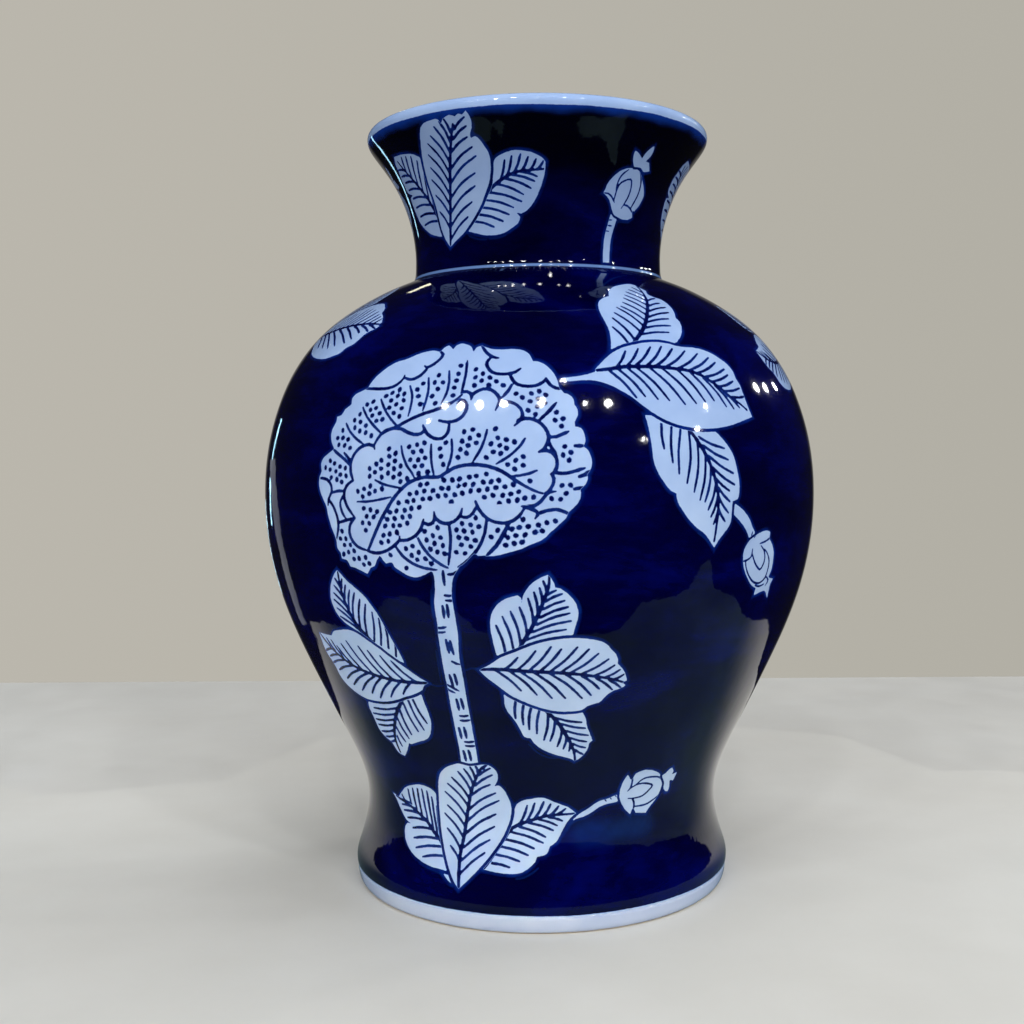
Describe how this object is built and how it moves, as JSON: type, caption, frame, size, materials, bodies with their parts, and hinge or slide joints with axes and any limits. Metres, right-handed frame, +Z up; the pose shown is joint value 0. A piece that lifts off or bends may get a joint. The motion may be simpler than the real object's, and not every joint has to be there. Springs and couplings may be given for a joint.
{
  "type": "baluster vase",
  "caption": "Baluster vase with a flared neck, full rounded shoulder, narrow waist and spreading foot ring; cobalt glaze with reserved white flowers and leaves.",
  "frame": {"origin": "centre of the standing face of the foot ring, on the axis of the vase", "axes": "+Z up along the axis of the vase, towards the mouth; -Y faces the viewer and carries the large flower"},
  "size_m": [0.1844, 0.1844, 0.25],
  "materials": {
    "cobalt_glaze": "high-gloss glaze over deep cobalt blue with motifs reserved in blue-tinged white and fine blue line work",
    "white_glaze": "glossy slightly blue-tinged white glaze, standing face wiped bare",
    "clear_glaze": "glossy clear glaze over white clay"
  },
  "bodies": {
    "root": {"foot_ring": "white_glaze", "base_disc": "clear_glaze", "lower_body": "cobalt_glaze", "upper_body": "cobalt_glaze", "neck": "cobalt_glaze"}
  },
  "joints": []
}
